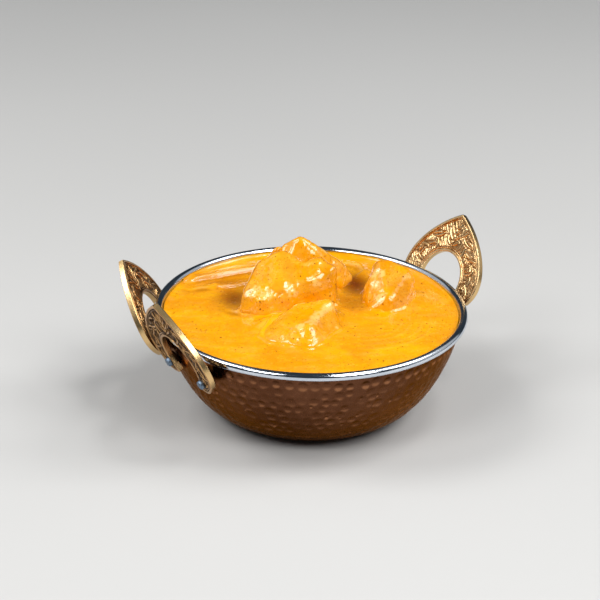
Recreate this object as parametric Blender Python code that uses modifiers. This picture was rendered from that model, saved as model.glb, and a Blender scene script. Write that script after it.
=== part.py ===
"""Chicken curry in a hammered copper karahi: a steel-lined bowl with three riveted brass handles."""

import math

import bmesh
import bpy
from mathutils import Matrix, Vector

# Driving dimensions in metres, angles in degrees.
# The origin is the centre of the base, on the table. +Z is up and -Y is the side the bowl is seen from.
GAP = 0.0003                 # clearance between pieces that touch
STEPS = 52                   # facets round the bowl

# Bowl: a copper skin round a steel liner, whose edge is rolled into a round bead.
RIM_RADIUS = 0.075           # outer edge of the bead
RIM_HEIGHT = 0.050           # middle of the bead above the table
BEAD_RADIUS = 0.00195
COPPER_RADIUS = 0.0720       # outer radius of the copper where it ends under the bead
COPPER_HEIGHT = 0.0480       # that end above the table
COPPER_THICKNESS = 0.0007
STEEL_THICKNESS = 0.0007
BASE_RADIUS = 0.029          # the flat that the bowl stands on
WALL_FULLNESS = 0.76         # lower values make the wall steeper near the rim
WALL_DROP = 1.61             # higher values carry the fullness further down
WALL_POINTS = 7

# Handles: a pointed arch cut from brass plate, with a horseshoe opening for a fingertip.
HANDLE_THICKNESS = 0.0028
ARCH_HALF_WIDTH = 0.0264
ARCH_WIDEST = 0.0318         # distance of the widest place below the tip
ARCH_LENGTH = 0.0456         # distance of the leg ends below the tip
OPENING_RADIUS = 0.0138
OPENING_DROP = 0.0336        # middle of the horseshoe opening below the tip
LEG_INNER = 0.0082           # half the distance between the legs' ends
EDGE_BEVEL = 0.0004

# Rivets: two to a handle, each through a round lug on the plate's inner face.
RIVET_OFFSET = 0.0148
RIVET_DROP = 0.0406          # below the tip
RIVET_HEAD_RADIUS = 0.0023
RIVET_HEAD_HEIGHT = 0.0014
RIVET_SHANK_RADIUS = 0.0012
RIVET_STEPS = 12
LUG_RADIUS = 0.0038
LUG_STEPS = 16
DRILL_RUN = 0.0015           # how far a drill runs on past the plate and into the copper
REACH_STEP = 0.0001
REACH_MOST = 0.012

# Where each handle sits: the direction it faces, the lean of its plate, the height of its tip over
# the bead's middle, the plate's clearance from the bowl's axis at the bead's height, the plate's
# turn in its own plane, and its shift to one side along the rim.
HANDLES = {
    "handle_back": {"facing": 36.8, "lean": 28.0, "tip_height": 0.0288, "reach": 0.0768,
                    "turn": -4.0, "shift": -0.0006},
    "handle_left": {"facing": 176.5, "lean": 29.0, "tip_height": 0.0225, "reach": 0.0775,
                    "turn": 0.9, "shift": 0.0024},
    "handle_front": {"facing": 213.9, "lean": 24.0, "tip_height": 0.0257, "reach": 0.0757,
                     "turn": 1.5, "shift": 0.0052},
}

# Food: the sauce fills the liner to its level, and each chunk stands in a socket in it.
SAUCE_LEVEL = 0.0485
CHUNK_DEPTH = 0.0070         # how far a chunk reaches below the sauce
CHUNK_BEVEL = 0.0013
CHUNK_INSET = 0.85           # a chunk's underside against its outline at the sauce level

# Each chunk's corners in millimetres, from the bowl's axis: its cut edges above the sauce as
# (x, y, height over the sauce), then its outline where it leaves the sauce as (x, y).
CHUNKS = {
    "chicken_big": {
        "corners": [(-33, 0, 9), (-23, -4, 9.5), (-3, 3, 11), (11, 10, 18), (4, 17, 19.5),
                    (-4, 19, 21.5), (-15, 22, 22.5), (-26, 18, 18)],
        "outline": [(-34, -1), (-24, -5), (-4, 2), (12, 8), (12, 22), (-8, 27), (-29, 22)]},
    "chicken_peak": {
        "corners": [(-14, 33, 20), (-6, 34, 25), (3, 36, 18), (13, 37, 10.5), (17, 43, 3.5),
                    (-5, 43, 16)],
        "outline": [(-18, 29), (14, 29), (20, 42), (8, 50), (-12, 49)]},
    "chicken_small": {
        "corners": [(-18, 32, 19.5), (-14, 33, 20), (-14, 38, 17), (-21, 35, 13)],
        "outline": [(-25, 29), (-12, 29), (-12, 42), (-25, 40)]},
    "chicken_right": {
        "corners": [(31, 29, 16.5), (36, 28, 16.5), (46, 24, 14), (49, 20, 9), (39, 5, 6.5),
                    (30, 6, 6)],
        "outline": [(25, 17), (29, 3), (38, 2), (45, 8), (51, 22), (46, 33), (30, 35)]},
    "chicken_front": {
        "corners": [(8, -9, 10), (-1, -32, 7), (-13, -25, 6.5), (-9, -9, 8), (10, 0, 6)],
        "outline": [(-25, -29), (-18, -36), (-2, -42), (2, -41), (14, -19), (13, -2), (-12, -3)]},
}


def material(name, color, roughness, metallic):
    made = bpy.data.materials.new(name)
    made.use_nodes = True
    shader = made.node_tree.nodes["Principled BSDF"]
    shader.inputs["Base Color"].default_value = (*color, 1)
    shader.inputs["Roughness"].default_value = roughness
    shader.inputs["Metallic"].default_value = metallic
    return made


def collection(name):
    made = bpy.data.collections.new(name)
    bpy.context.scene.collection.children.link(made)
    return made


def add_object(name, mesh, group, finish=None):
    made = bpy.data.objects.new(name, mesh)
    group.objects.link(made)
    if finish:
        mesh.materials.append(finish)
    return made


def shade_round(mesh, angle):
    mesh.shade_smooth()
    mesh.set_sharp_from_angle(angle=math.radians(angle))


def as_cutter(cutter):
    cutter.hide_render = True
    cutter.display_type = "WIRE"
    return cutter


def combine(target, other, operation="DIFFERENCE"):
    boolean = target.modifiers.new(f"{operation.lower()} {other.name}", "BOOLEAN")
    boolean.operation = operation
    boolean.object = other


def wall_point(part_way, inset):
    """A point of the bowl's wall as (radius, height): 0 is the top, 1 the edge of the flat base."""
    def outer(way):
        turn = way * math.pi / 2
        radius = BASE_RADIUS + (COPPER_RADIUS - BASE_RADIUS) * math.cos(turn) ** WALL_FULLNESS
        return Vector((radius, COPPER_HEIGHT * (1 - math.sin(turn) ** WALL_DROP)))
    step = 0.002
    along = outer(min(part_way + step, 1)) - outer(max(part_way - step, 0))
    inward = Vector((along.y, -along.x)).normalized()
    return outer(part_way) + inward * inset


def wall_profile(inset):
    points = [wall_point(index / WALL_POINTS, inset) for index in range(WALL_POINTS)]
    return points + [Vector((BASE_RADIUS, inset)), Vector((0, inset))]


def turned(name, profile, group, finish=None, steps=STEPS):
    """A turned solid or surface from a profile of (radius, height) that runs down its outer side."""
    mesh = bpy.data.meshes.new(name)
    edges = [(index, index + 1) for index in range(len(profile) - 1)]
    mesh.from_pydata([(radius, 0, height) for radius, height in profile], edges, [])
    made = add_object(name, mesh, group, finish)
    screw = made.modifiers.new("turn", "SCREW")
    screw.steps = steps
    screw.render_steps = steps
    screw.use_merge_vertices = True
    screw.merge_threshold = 0.00001
    screw.use_smooth_shade = True
    return made


def bead_profile():
    """The rolled rim from the liner's inner wall, over the top, to its outer wall."""
    middle = Vector((RIM_RADIUS - BEAD_RADIUS, RIM_HEIGHT))
    angles = [math.radians(180 - 36 * index) for index in range(10)]
    return [middle + BEAD_RADIUS * Vector((math.cos(angle), math.sin(angle))) for angle in angles]


def make_bowl(group, copper, steel):
    shell = turned("copper_shell", wall_profile(0), group, copper)
    solidify = shell.modifiers.new("sheet", "SOLIDIFY")
    solidify.thickness = COPPER_THICKNESS
    solidify.offset = -1
    liner_outer = COPPER_THICKNESS + GAP
    inner = wall_profile(liner_outer + STEEL_THICKNESS)
    turned("steel_bowl", inner[::-1] + bead_profile() + wall_profile(liner_outer), group, steel)
    return shell


def handle_matrix(place):
    """Local X runs along the rim, local Y up the plate and local Z out of its outer face."""
    facing = math.radians(place["facing"])
    lean = math.radians(place["lean"])
    outward = Vector((math.cos(facing), math.sin(facing), 0))
    sideways = Vector((-math.sin(facing), math.cos(facing), 0))
    tip = outward * (place["reach"] + place["tip_height"] * math.tan(lean))
    tip += sideways * place["shift"]
    tip.z = RIM_HEIGHT + place["tip_height"]
    turn = Matrix.Rotation(facing + math.pi / 2, 4, "Z")
    turn @= Matrix.Rotation(math.pi / 2 + lean, 4, "X")
    turn @= Matrix.Rotation(math.radians(place["turn"]), 4, "Z")
    return Matrix.Translation(tip) @ turn


def arch_outline():
    """The right half of the arch as Bezier points (co, handle_left, handle_right), tip to opening."""
    leg_end = -ARCH_LENGTH
    shoulder = -ARCH_WIDEST + 0.0125
    opening_top = -OPENING_DROP + OPENING_RADIUS
    round_handle = OPENING_RADIUS * 0.552
    widest = ARCH_HALF_WIDTH
    return [
        ((0, 0), (-0.0125, -0.006), (0.0125, -0.006)),
        ((widest, -ARCH_WIDEST), (widest, shoulder), (widest, -ARCH_WIDEST - 0.006)),
        ((0.0190, leg_end + 0.0010), (0.0224, leg_end + 0.0034), (0.0168, leg_end - 0.0006)),
        ((0.0115, leg_end), (0.0135, leg_end - 0.0004), (0.0093, leg_end + 0.0004)),
        ((LEG_INNER, leg_end + 0.0025), (LEG_INNER - 0.0004, leg_end + 0.0012), (0.0112, -0.0412)),
        ((OPENING_RADIUS, -OPENING_DROP), (OPENING_RADIUS, -OPENING_DROP - 0.0046),
         (OPENING_RADIUS, -OPENING_DROP + round_handle)),
        ((0, opening_top), (round_handle, opening_top), (-round_handle, opening_top)),
    ]


def arch_plate(name, group):
    """The handle's plate as a mesh, lying with its inner face on local z = 0 and its tip at 0, 0."""
    half = arch_outline()
    mirrored = [tuple((-x, y) for x, y in (co, right, left)) for co, left, right in half[1:-1]]
    outline = half + mirrored[::-1]
    curve = bpy.data.curves.new(name, "CURVE")
    curve.dimensions = "2D"
    curve.fill_mode = "BOTH"
    curve.extrude = HANDLE_THICKNESS / 2
    curve.resolution_u = 4
    spline = curve.splines.new("BEZIER")
    spline.bezier_points.add(len(outline) - 1)
    spline.use_cyclic_u = True
    for point, (co, left, right) in zip(spline.bezier_points, outline):
        point.handle_left_type = "FREE"
        point.handle_right_type = "FREE"
        point.co = (*co, 0)
        point.handle_left = (*left, 0)
        point.handle_right = (*right, 0)
    guide = bpy.data.objects.new(f"{name}_curve", curve)
    group.objects.link(guide)
    graph = bpy.context.evaluated_depsgraph_get()
    mesh = bpy.data.meshes.new_from_object(guide.evaluated_get(graph))
    mesh.name = name
    work = bmesh.new()
    work.from_mesh(mesh)
    bmesh.ops.remove_doubles(work, verts=work.verts, dist=0.00001)
    bmesh.ops.translate(work, verts=work.verts, vec=(0, 0, HANDLE_THICKNESS / 2))
    bmesh.ops.recalc_face_normals(work, faces=work.faces)
    work.to_mesh(mesh)
    work.free()
    bpy.data.objects.remove(guide)
    bpy.data.curves.remove(curve)
    return mesh


def cylinders(name, group, radius, segments, spans):
    """Cylinders along local Z in one helper mesh, each span being its place, low end and high end."""
    mesh = bpy.data.meshes.new(name)
    work = bmesh.new()
    for spot, low, high in spans:
        middle = Matrix.Translation(spot + Vector((0, 0, (low + high) / 2)))
        bmesh.ops.create_cone(work, cap_ends=True, segments=segments, radius1=radius, radius2=radius,
                              depth=high - low, matrix=middle)
    work.to_mesh(mesh)
    work.free()
    return as_cutter(add_object(name, mesh, group))


def rivet_profile(length):
    """A domed head on local z = 0 with its shank below, from the head's top down."""
    rings = 4
    head = []
    for index in range(rings + 1):
        angle = index / rings * math.pi / 2
        head.append((RIVET_HEAD_RADIUS * math.sin(angle), RIVET_HEAD_HEIGHT * math.cos(angle)))
    return head + [(RIVET_SHANK_RADIUS, 0), (RIVET_SHANK_RADIUS, -length), (0, -length)]


def make_handle(name, place, group, cutters, brass, steel, shell):
    """One handle with its two lugs and rivets. The shanks end in holes drilled in the copper."""
    matrix = handle_matrix(place)
    plate = add_object(name, arch_plate(name, cutters), group, brass)
    bevel = plate.modifiers.new("edges", "BEVEL")
    bevel.width = EDGE_BEVEL
    bevel.segments = 1
    bevel.angle_limit = math.radians(50)
    spots = [Vector((side * RIVET_OFFSET, -RIVET_DROP, 0)) for side in (-1, 1)]
    reaches = [lug_reach(matrix, spot) for spot in spots]
    lugs = [(spot, -reach, HANDLE_THICKNESS / 2) for spot, reach in zip(spots, reaches)]
    drills = [(spot, -reach - DRILL_RUN, HANDLE_THICKNESS + DRILL_RUN) for spot, reach in zip(spots, reaches)]
    lug_pair = cylinders(f"{name}_lugs", cutters, LUG_RADIUS, LUG_STEPS, lugs)
    drill_pair = cylinders(f"{name}_drills", cutters, RIVET_SHANK_RADIUS + GAP, RIVET_STEPS, drills)
    for item in (plate, lug_pair, drill_pair):
        item.matrix_world = matrix
    combine(plate, lug_pair, "UNION")
    combine(plate, drill_pair)
    combine(shell, drill_pair)
    shade_round(plate.data, 35)
    for number, (spot, reach) in enumerate(zip(spots, reaches), 1):
        profile = rivet_profile(HANDLE_THICKNESS + reach + GAP)
        rivet = turned(f"{name}_rivet_{number}", profile, group, steel, RIVET_STEPS)
        rivet.matrix_world = matrix @ Matrix.Translation(spot + Vector((0, 0, HANDLE_THICKNESS + GAP)))


def lug_reach(matrix, spot):
    """How far a lug runs inwards from the plate before its end face nears the copper or the bead."""
    def clear(depth):
        for index in range(12):
            angle = index * math.pi / 6
            edge = Vector((math.cos(angle), math.sin(angle), 0)) * LUG_RADIUS
            point = matrix @ (spot + edge + Vector((0, 0, -depth)))
            radius = math.hypot(point.x, point.y)
            from_bead = math.hypot(radius - RIM_RADIUS + BEAD_RADIUS, point.z - RIM_HEIGHT)
            if radius < wall_radius(point.z) + GAP or from_bead < BEAD_RADIUS + GAP:
                return False
        return True
    depth = 0.0
    while clear(depth + REACH_STEP) and depth < REACH_MOST:
        depth += REACH_STEP
    return depth


def wall_radius(height):
    """The copper's outer radius at a height, found by halving the way down the wall."""
    low, high = 0.0, 1.0
    for _ in range(30):
        middle = (low + high) / 2
        if wall_point(middle, 0).y > height:
            low = middle
        else:
            high = middle
    return wall_point(low, 0).x


def chunk_mesh(name, shape, grow=0.0):
    """The closed hull of a chunk's corners, carried down into the sauce and grown by a clearance."""
    corners = [Vector((x, y, height)) / 1000 for x, y, height in shape["corners"]]
    outline = [Vector((x, y, 0)) / 1000 for x, y in shape["outline"]]
    middle = sum(outline, Vector()) / len(outline)
    under = [middle + (point - middle) * CHUNK_INSET for point in outline]
    for point in under:
        point.z = -CHUNK_DEPTH
    work = bmesh.new()
    for point in corners + outline + under:
        work.verts.new(point + Vector((0, 0, SAUCE_LEVEL)))
    hull = bmesh.ops.convex_hull(work, input=work.verts)
    spare = [item for item in hull["geom_interior"] if isinstance(item, bmesh.types.BMVert)]
    bmesh.ops.delete(work, geom=spare, context="VERTS")
    bmesh.ops.dissolve_limit(work, angle_limit=math.radians(4), verts=work.verts, edges=work.edges)
    bmesh.ops.recalc_face_normals(work, faces=work.faces)
    work.normal_update()
    moves = [(vert, vert.normal * vert.calc_shell_factor() * grow) for vert in work.verts]
    for vert, move in moves:
        vert.co += move
    mesh = bpy.data.meshes.new(name)
    work.to_mesh(mesh)
    work.free()
    return mesh


def make_food(group, cutters, sauce_finish, chicken_finish):
    """The sauce up to its level, with each chunk in a socket of its own."""
    inner = COPPER_THICKNESS + STEEL_THICKNESS + 2 * GAP
    profile = [point for point in wall_profile(inner) if point.y < SAUCE_LEVEL - GAP]
    top = Vector((profile[0].x, SAUCE_LEVEL))
    sauce = turned("curry_sauce", [Vector((0, SAUCE_LEVEL)), top] + profile, group, sauce_finish)
    placed = []
    for name, shape in CHUNKS.items():
        chunk = add_object(name, chunk_mesh(name, shape), group, chicken_finish)
        bevel = chunk.modifiers.new("soft edges", "BEVEL")
        bevel.width = CHUNK_BEVEL
        bevel.segments = 2
        bevel.angle_limit = math.radians(20)
        for earlier in placed:
            combine(chunk, earlier)
        shade_round(chunk.data, 60)
        socket = as_cutter(add_object(f"{name}_socket", chunk_mesh(f"{name}_socket", shape, GAP), cutters))
        combine(sauce, socket)
        placed.append(socket)


def main():
    for item in list(bpy.data.objects):
        bpy.data.objects.remove(item)
    parts = collection("chicken_curry")
    cutters = collection("cutters")
    copper = material("hammered copper", (0.42, 0.19, 0.11), 0.28, 1.0)
    steel = material("polished steel", (0.62, 0.64, 0.67), 0.18, 1.0)
    brass = material("cast brass", (0.58, 0.36, 0.14), 0.35, 1.0)
    sauce_finish = material("curry sauce", (0.93, 0.42, 0.01), 0.25, 0.0)
    chicken_finish = material("sauced chicken", (0.92, 0.46, 0.05), 0.30, 0.0)
    shell = make_bowl(parts, copper, steel)
    for name, place in HANDLES.items():
        make_handle(name, place, parts, cutters, brass, steel, shell)
    make_food(parts, cutters, sauce_finish, chicken_finish)


main()
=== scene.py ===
"""Chicken curry in its hammered copper bowl: the looks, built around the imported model.

Positions are in metres, with +Z up, +X to the viewer's right and the bowl's base resting on z = 0
round the axis x = y = 0. Tables in millimetres say so.
"""

import itertools
from math import atan, cos, degrees, pi, radians, sin, tan

import bpy
import bmesh
import numpy as np
from mathutils import Matrix, Vector
from mathutils.geometry import interpolate_bezier


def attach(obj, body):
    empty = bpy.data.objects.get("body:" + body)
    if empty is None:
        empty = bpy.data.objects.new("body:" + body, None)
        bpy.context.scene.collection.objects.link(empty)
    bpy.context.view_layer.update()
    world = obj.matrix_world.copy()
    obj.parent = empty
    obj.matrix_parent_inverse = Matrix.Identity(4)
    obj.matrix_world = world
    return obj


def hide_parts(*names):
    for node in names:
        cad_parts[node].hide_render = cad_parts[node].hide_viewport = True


MM = 0.001
SEED = 11

# The bowl, as in the CAD
GAP = 0.0003
RIM_RADIUS = 0.075
RIM_HEIGHT = 0.050
BEAD_RADIUS = 0.00195
COPPER_RADIUS = 0.0720
COPPER_HEIGHT = 0.0480
COPPER_THICKNESS = 0.0007
STEEL_THICKNESS = 0.0007
BASE_RADIUS = 0.029
WALL_FULLNESS = 0.76
WALL_DROP = 1.61
LINER_INSET = COPPER_THICKNESS + GAP

# The hammer marks, clear in the top row and softer below: pitch round the bowl, step to the next
# row, radii, shares of the full depth, and how far a mark strays from its row
MARK_DEPTH = 0.00052
FIRST_ROW = 0.0042
TOP_ROW = {"pitch": 0.0058, "step": 0.0048, "radii": (0.0020, 0.0029), "depths": (0.6, 1.1),
           "stray": 0.0007}
LOWER_ROW = {"pitch": 0.0054, "step": 0.0046, "radii": (0.0020, 0.0031), "depths": (0.18, 0.66),
             "stray": 0.0010}
PECKS = 110
# The dent slope at which the painted shade and the painted highlight in the dents are full
FULL_SLOPE = 0.30

# The handles, as in the CAD. Angles are in degrees; the last number sets how dark each handle's brass is,
# 0 for clean brass and 1 for dark.
HANDLE_THICKNESS = 0.0028
ARCH_HALF_WIDTH = 0.0264
ARCH_WIDEST = 0.0318
ARCH_LENGTH = 0.0456
OPENING_RADIUS = 0.0138
OPENING_DROP = 0.0336
LEG_INNER = 0.0082
RIVET_OFFSET = 0.0148
RIVET_DROP = 0.0406
RIVET_HEAD_RADIUS = 0.0023
RIVET_HEAD_HEIGHT = 0.0014
LUG_RADIUS = 0.0038
SHORTEST_LUG = 0.001
HANDLES = {
    "handle_back": {"facing": 36.8, "lean": 28.0, "tip_height": 0.0288, "reach": 0.0768,
                    "turn": -4.0, "shift": -0.0006, "brass_darkness": 0.1},
    "handle_left": {"facing": 176.5, "lean": 29.0, "tip_height": 0.0225, "reach": 0.0775,
                    "turn": 0.9, "shift": 0.0024, "brass_darkness": 0.85},
    "handle_front": {"facing": 213.9, "lean": 24.0, "tip_height": 0.0257, "reach": 0.0757,
                     "turn": 1.5, "shift": 0.0052, "brass_darkness": 1.05},
}

# The relief on the handles: a grooved field inside a flat border, with a row of pearls along the
# opening and a raised line along the outer edge, both LINE_INSET in from the border
FIELD_DEPTH = 0.00060
GROOVE_PITCH = 0.00125
GROOVE_HEIGHT = 0.00040
GROOVE_SLANT = 0.45
BORDER = 0.00135
LINE_INSET = 0.00062
LINE_BAND = 0.00105
LINE_HALF_WIDTH = 0.00012
LINE_SLOPE = 1.6
PEARL_BAND = 0.00125
PEARL_PITCH = 0.00105
PEARL_RADIUS = 0.00048
PEARL_RISE = 0.00050
SEAT_EDGE = (0.0034, 0.0029)
SEAT_DEPTH = 0.00022
ARRIS_WIDTH = 0.00040
ARRIS_DROP = 0.00030

# The foliage, in millimetres; a stroke keeps a bare moat round it, as a share of its own width
STEM_WAVE = 15.5
STEM_SWAY = 2.0
STEM_WIDTH = 0.56
STEM_START = 4.5
LEAF_PITCH = 2.3
LEAF_LENGTH = 6.2
LEAF_WIDTH = 0.74
MOAT = 0.42

# How rubbed the plate's edges and the lugs are, where 0 is the field and 1 the top of the relief
EDGE_RUB = 1.25
LUG_RUB = 0.34

# The food, as in the CAD; the chunks' outlines are in millimetres
SAUCE_LEVEL = 0.0485
CHUNKS = {
    "chicken_big": [(-34, -1), (-24, -5), (-4, 2), (12, 8), (12, 22), (-8, 27), (-29, 22)],
    "chicken_peak": [(-18, 29), (14, 29), (20, 42), (8, 50), (-12, 49)],
    "chicken_small": [(-25, 29), (-12, 29), (-12, 42), (-25, 40)],
    "chicken_right": [(25, 17), (29, 3), (38, 2), (45, 8), (51, 22), (46, 33), (30, 35)],
    "chicken_front": [(-25, -29), (-18, -36), (-2, -42), (2, -41), (14, -19), (13, -2), (-12, -3)],
}

# The sauce's surface, all in millimetres. Swells: height, size and seed of its lumps
SWELLS = [(0.35, 26, 5), (0.075, 7, 9), (0.030, 2.2, 21)]
# Creases: points, crest height, and how far the fall reaches on the viewer's side and on the far side
FOLDS = [
    ([(-61, 33), (-53, 38), (-44, 42.5), (-34, 46.5), (-22, 50.5)], 2.2, 1.25, 4.0),
    ([(-47, 28), (-41, 30), (-35, 32), (-27, 35)], 1.5, 0.9, 3.0),
    ([(-60, 25), (-54, 26.5), (-49, 28)], 0.7, 1.2, 3.0),
    ([(12, 58), (18, 60), (24, 57), (26, 50), (22, 44)], 1.3, 1.5, 3.0),
    ([(26, 50), (32, 44), (30, 38)], 0.9, 1.4, 2.5),
    ([(-40, 2), (-36, -1.5), (-31, -3.5)], 0.8, 1.2, 2.0),
]
# Dips: place, half width along x and y, height, and how much painted shade darkens the sauce in them
HOLLOWS = [((21.5, 37), 9.5, 14, -1.3, 1.0), ((-38, 18), 8, 12, -1.2, 0.8),
           ((20, 14), 8, 10, -0.5, 0.4), ((-43, 34), 16, 7, -0.7, 0.55)]
# Heaps: points, height and reach. The first joins two chunks, the second is a dab beside a crease
HEAPS = [([(-20, -17), (-9, -10), (6, -3)], 4.3, 6.2), ([(-47.5, 29.0), (-47.5, 29.0)], 1.3, 3.4)]
# Faint arcs left by the spoon: centre and radii
SWIRL_CENTRE = (26, -8)
SWIRL_RADII = (17.0, 21.5, 26.5, 31.0)

# How each chunk looks. Places are (x, y, height over the sauce) and lengths are in millimetres.
# softening: smoothing steps; knobs: share of its small lumps; grain: the way its fibres run
# fillet, climb: how high the sauce rounds up against it, close by and farther off
# pulls: centre, reach and pull of each lobe that is drawn out
# facets: a point, the way it faces and the reach of each flat that the sauce leaves
# pale, dry: patches as (x, y, height, radius): the pale ones are painted highlights of the lamps' sheen,
# and the dry ones, where the sauce has run off, lose their gloss and take some painted shade
LEFT_LIT = (-0.39, -0.58, 0.72)
CHUNK_LOOKS = {
    "chicken_big": dict(
        softening=62, knobs=1.0, grain=(0.9, 0.35, 0.2), fillet=1.3, climb=0.42,
        pulls=[((11, 12, 17), 6.0, (1.2, 0, 2.6)), ((-3.5, 19, 21), 3.8, (0, 0, -3.2)),
               ((3, 15, 20), 4.0, (0, 0, 1.2)), ((-15, 22, 22), 6.0, (0, 0, 1.2)),
               ((-32, -2, 2), 3.5, (-1.2, -1.2, 0.4)), ((-19, -3, 9.5), 4.5, (0.4, 0.9, -0.9)),
               ((-9, 0, 11), 4.5, (0.3, 0.8, -0.8))],
        facets=[((-27.6, -1.4, 8.7), LEFT_LIT, 3.0), ((-23.2, -2.6, 8.2), LEFT_LIT, 3.2),
                ((-18.6, -1.9, 8.1), LEFT_LIT, 3.2), ((-14.4, -0.6, 8.2), LEFT_LIT, 2.4)],
        cream_and_sheen=[(-28, 0, 9, 3.5), (-22, -2, 9.5, 3), (-10, 2, 10, 3.5), (2, 6, 14, 3)],
        dry=[],
    ),
    "chicken_peak": dict(
        softening=105, knobs=0.4, grain=(0.2, 0.5, 0.8), fillet=1.3, climb=0.42,
        pulls=[((14, 37, 9), 6.0, (0.6, 0, 0.6)), ((-13, 33, 18), 5.0, (-2.2, 0, 1.2)),
               ((-8, 31, 14), 6.0, (-0.5, -3.2, 0)), ((4, 33, 11), 6.0, (0, -1.2, 0))],
        facets=[((-10.2, 34, 21.0), (-0.62, -0.50, 0.60), 9.0),
                ((6, 36, 18.0), (0.50, -0.33, 0.80), 10.0)],
        cream_and_sheen=[(5, 36, 17, 2.5)],
        dry=[(6, 33, 14, 5)],
    ),
    "chicken_small": dict(
        softening=40, knobs=0.3, grain=(0.3, 0.4, 0.8), fillet=1.3, climb=0.42,
        pulls=[((-18, 34, 17), 5.0, (-0.6, 0, 1.0))],
        facets=[],
        cream_and_sheen=[],
        dry=[],
    ),
    "chicken_right": dict(
        softening=42, knobs=0.8, grain=(0.4, 0.7, -0.5), fillet=1.3, climb=0.42,
        pulls=[((36, 24, 17), 6.0, (0, 0, 1.0)), ((47, 20, 10), 5.0, (1.0, 0, 1.0))],
        facets=[((33, 14, 9.0), (-0.58, -0.42, 0.70), 13.0)],
        cream_and_sheen=[(31, 14, 9, 3.5), (32, 20, 12, 3.5), (34, 7, 5, 3.5)],
        dry=[(43, 13, 9, 6), (47, 20, 12, 4)],
    ),
    "chicken_front": dict(
        softening=30, knobs=0.5, grain=(0.5, 0.8, 0.1), fillet=0.9, climb=0.12,
        pulls=[((8, -9, 10), 4.5, (1.0, 0, 1.4)), ((0, -31, 7), 4.5, (0.6, -0.4, 0.8)),
               ((4, -20, 9), 4.5, (0.6, 0, 0.8)), ((-24, -28, 3), 6.0, (0, 0, -2.0))],
        facets=[((8, -20, 5.0), (0.68, -0.42, 0.60), 9.0), ((-3, -34.8, 4.7), LEFT_LIT, 2.6),
                ((-6.8, -33.8, 4.7), LEFT_LIT, 2.2)],
        cream_and_sheen=[(10.5, -9, 8.5, 2.8), (8.5, -12.5, 9, 2.6), (6.5, -16, 9, 2.6), (4.5, -20, 8.5, 2.6),
              (2.5, -24, 8, 2.8), (0, -28, 7.5, 2.8), (-4, -31, 6.5, 2.4), (13, -20, 1.5, 1.8),
              (10.5, -25, 1.5, 1.6)],
        dry=[(10, -20, 4, 7), (-13, -27, 6, 7), (-5, -20, 8, 7)],
    ),
}
CHUNK_VOXEL = 0.00062

# Area lights aimed at LIT_POINT: place, width and depth in metres, and power in watts
LIT_POINT = (0, 0, 0.05)
LIGHTS = {
    "left_panel": ((-0.88, 0.20, 0.74), (1.40, 1.45), 3.0),
    "right_panel": ((0.90, 0.17, 0.76), (1.30, 1.45), 2.7),
    "left_core": ((-0.82, -0.05, 1.02), (0.54, 0.54), 7.0),
    "right_core": ((0.86, 0.03, 1.00), (0.54, 0.54), 6.4),
    "right_top": ((0.38, -0.14, 1.24), (0.40, 0.22), 3.2),
    "front_left_fill": ((-0.66, -0.86, 1.10), (0.50, 0.50), 6.4),
    "front_right_fill": ((0.66, -0.86, 1.10), (0.60, 0.60), 9.6),
}

# The camera: metres from the middle of the rim, degrees, and millimetres of lens
CAMERA_REACH = 1.05
CAMERA_RISE = 24.567
CAMERA_YAW = -0.2947
CAMERA_PITCH = 0.2419
CAMERA_ROLL = 1.1845
CAMERA_LENS = 131.56


# ---- numbers and lines

def smoothstep(low, high, value):
    """0 at low and 1 at high, with a smooth rise between; low may be the larger of the two."""
    part = np.clip((value - low) / (high - low), 0, 1)
    return part * part * (3 - 2 * part)


def bell(away, reach):
    """1 where away is 0, falling smoothly to about a third at reach."""
    return np.exp(-(away / reach) ** 2)


def lattice_noise(points, seed):
    """Smooth noise of about -1 to 1 at points measured in lattice cells."""
    cell = np.floor(points).astype(np.int64)
    part = points - cell
    ease = part ** 3 * (part * (part * 6 - 15) + 10)
    total = np.zeros(len(points))
    for corner in itertools.product((0, 1), repeat=3):
        at = cell + np.array(corner)
        code = at[:, 0] * 73856093 ^ at[:, 1] * 19349663 ^ at[:, 2] * 83492791 ^ seed * 2654435761
        code = (code ^ (code >> 15)) * 2246822519 & 0xFFFFFFFF
        code = (code ^ (code >> 13)) * 3266489917 & 0xFFFFFFFF
        value = ((code ^ (code >> 16)) & 0xFFFF) / 32767.5 - 1
        total += value * np.prod(np.where(corner, ease, 1 - ease), axis=1)
    return total


def fractal(points, size, octaves, seed):
    """Noise summed over octaves; size is that of the largest lumps, in the points' own unit."""
    total = np.zeros(len(points))
    for octave in range(octaves):
        total += lattice_noise(points * 2 ** octave / size, seed + octave) / 2 ** octave
    return total


def flat_points(place):
    """(x, y) places as points at z = 0."""
    return np.column_stack([place, np.zeros(len(place))])


def placed(points, matrix):
    """The points moved by a 4 x 4 matrix."""
    return (np.column_stack([points, np.ones(len(points))]) @ np.array(matrix).T)[:, :3]


def lengths(rows):
    """The length of each row."""
    return np.linalg.norm(rows, axis=1)


def run_along(line):
    """The distance from a line's start to each of its points."""
    return np.concatenate([[0], np.cumsum(lengths(np.diff(line, axis=0)))])


def headings(line):
    """The unit direction of a line at each of its points."""
    along = np.gradient(line, axis=0)
    return along / np.linalg.norm(along, axis=1, keepdims=True)


def at_run(wanted, run, pairs):
    """The pairs of numbers known at each run, read off at the wanted runs."""
    return np.stack([np.interp(wanted, run, pairs[:, axis]) for axis in (0, 1)], axis=1)


def evenly(line, count):
    """The line resampled to count points along its length."""
    run = run_along(line)
    return at_run(np.linspace(0, 1, count) * run[-1], run, line)


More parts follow.
